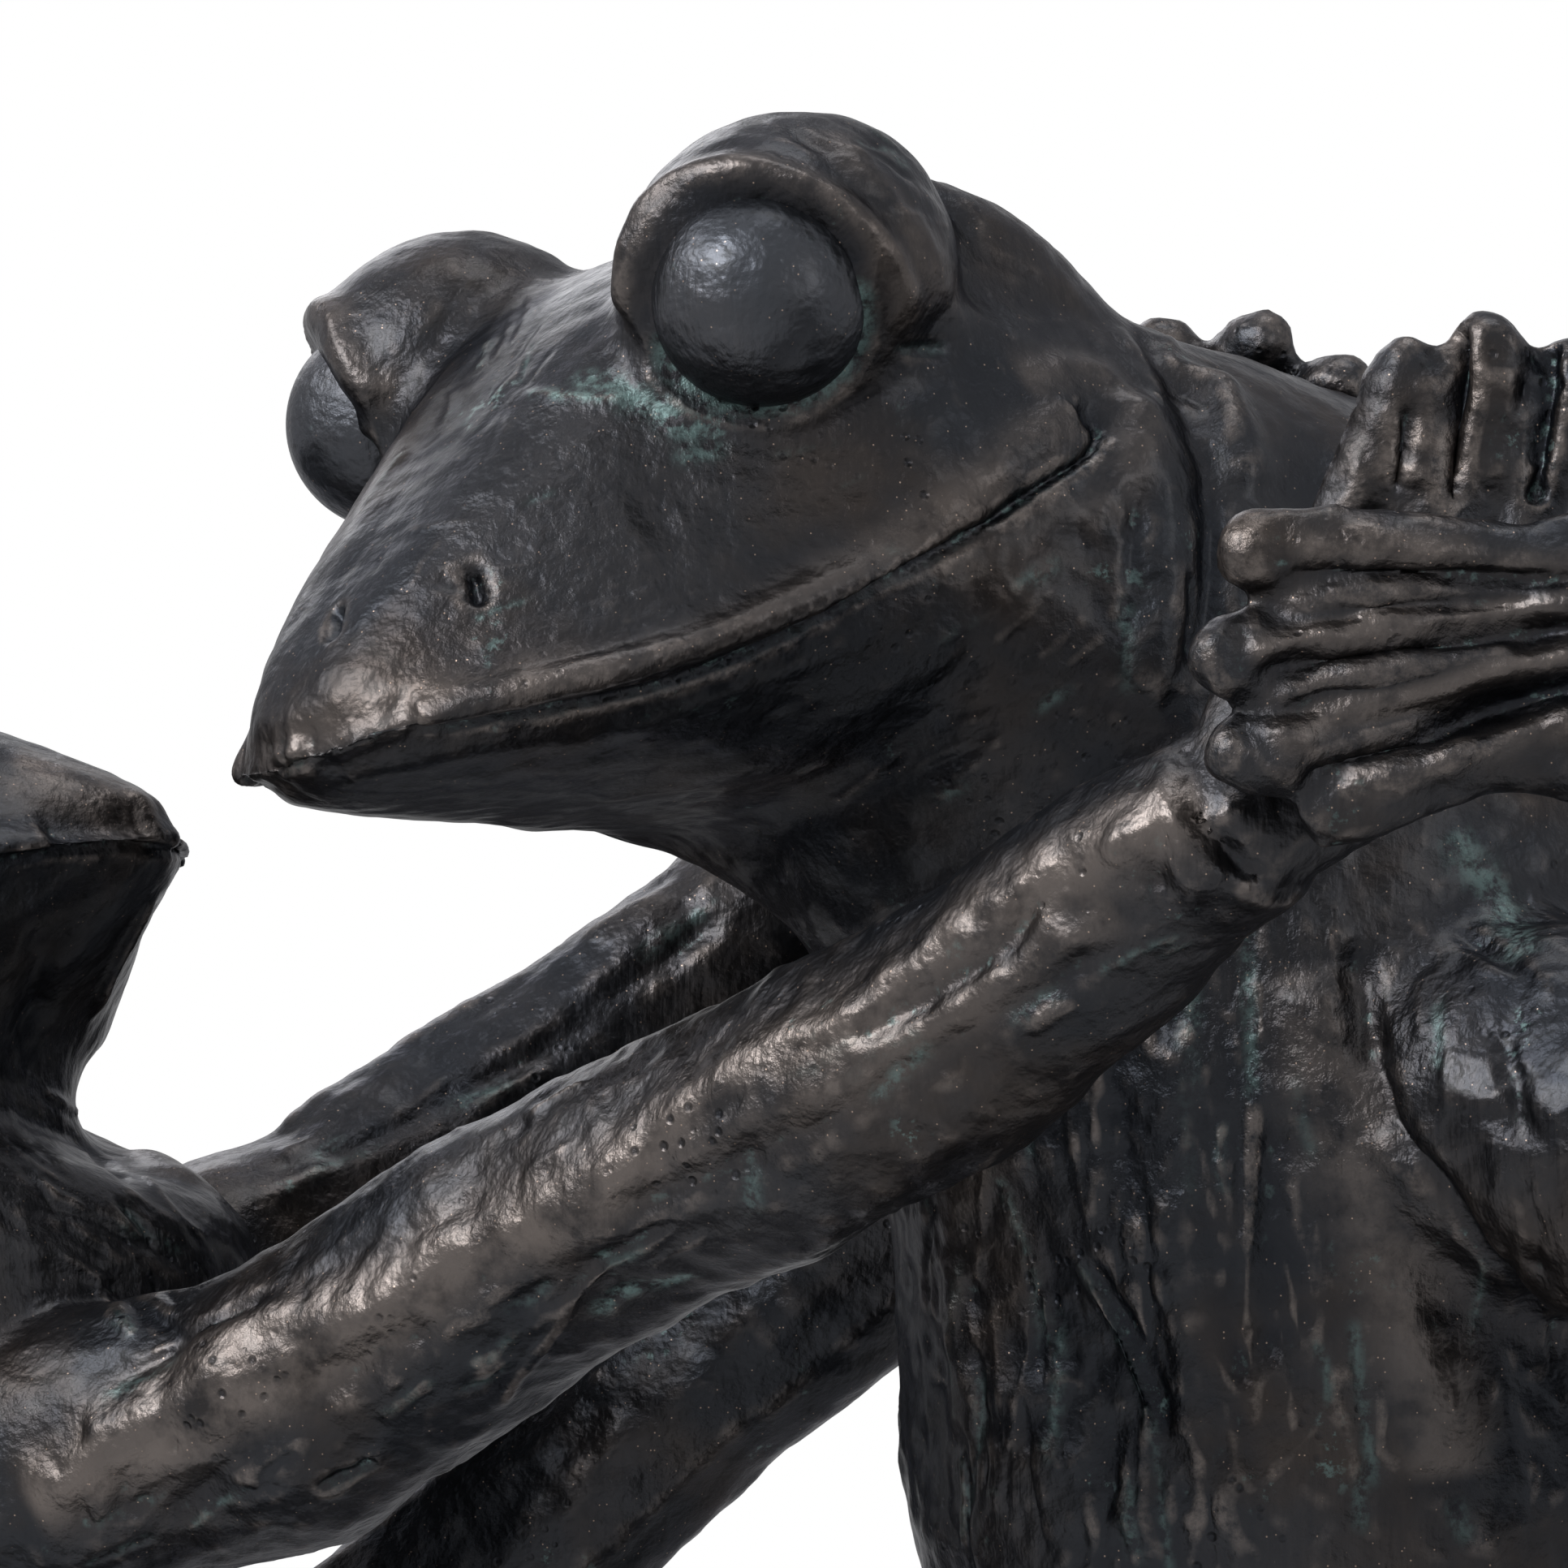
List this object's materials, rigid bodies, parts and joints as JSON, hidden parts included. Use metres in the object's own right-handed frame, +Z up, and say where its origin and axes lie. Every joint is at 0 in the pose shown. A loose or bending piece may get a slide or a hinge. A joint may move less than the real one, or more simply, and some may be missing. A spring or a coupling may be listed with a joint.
{
  "type": "frog figurine",
  "caption": "Cast resin figurine of a pair of slender frogs dancing in a ballroom hold on an oval plinth, with an aged dark bronze finish.",
  "frame": {"origin": "middle of the felt sheet's underside, on the table", "axes": "+Z up; the frogs face each other along X, the follower at -X and the leader at +X; their clasped hands reach towards -Y"},
  "size_m": [0.2649, 0.1893, 0.4967],
  "materials": {
    "resin": "near-black bronze-coloured paint over cast polyresin, rubbed to warm bronze on raised parts, with green in the creases",
    "eye_resin": "the same paint, smoother, with a soft shine",
    "felt": "thin black felt",
    "steel": "plain drawn rod"
  },
  "bodies": {
    "root": {"plinth": "resin", "felt_sheet": "felt", "leader_torso": "resin", "leader_head": "resin", "leader_left_arm": "resin", "leader_right_arm": "resin", "leader_left_leg": "resin", "leader_right_leg": "resin", "leader_left_eye": "eye_resin", "leader_right_eye": "eye_resin", "follower_torso": "resin", "follower_head": "resin", "follower_left_arm": "resin", "follower_right_arm": "resin", "follower_left_leg": "resin", "follower_right_leg": "resin", "follower_left_eye": "eye_resin", "follower_right_eye": "eye_resin", "leg_rods": "steel", "shoulder_pins": "steel", "hip_pins": "steel", "neck_pins": "steel"}
  },
  "joints": []
}
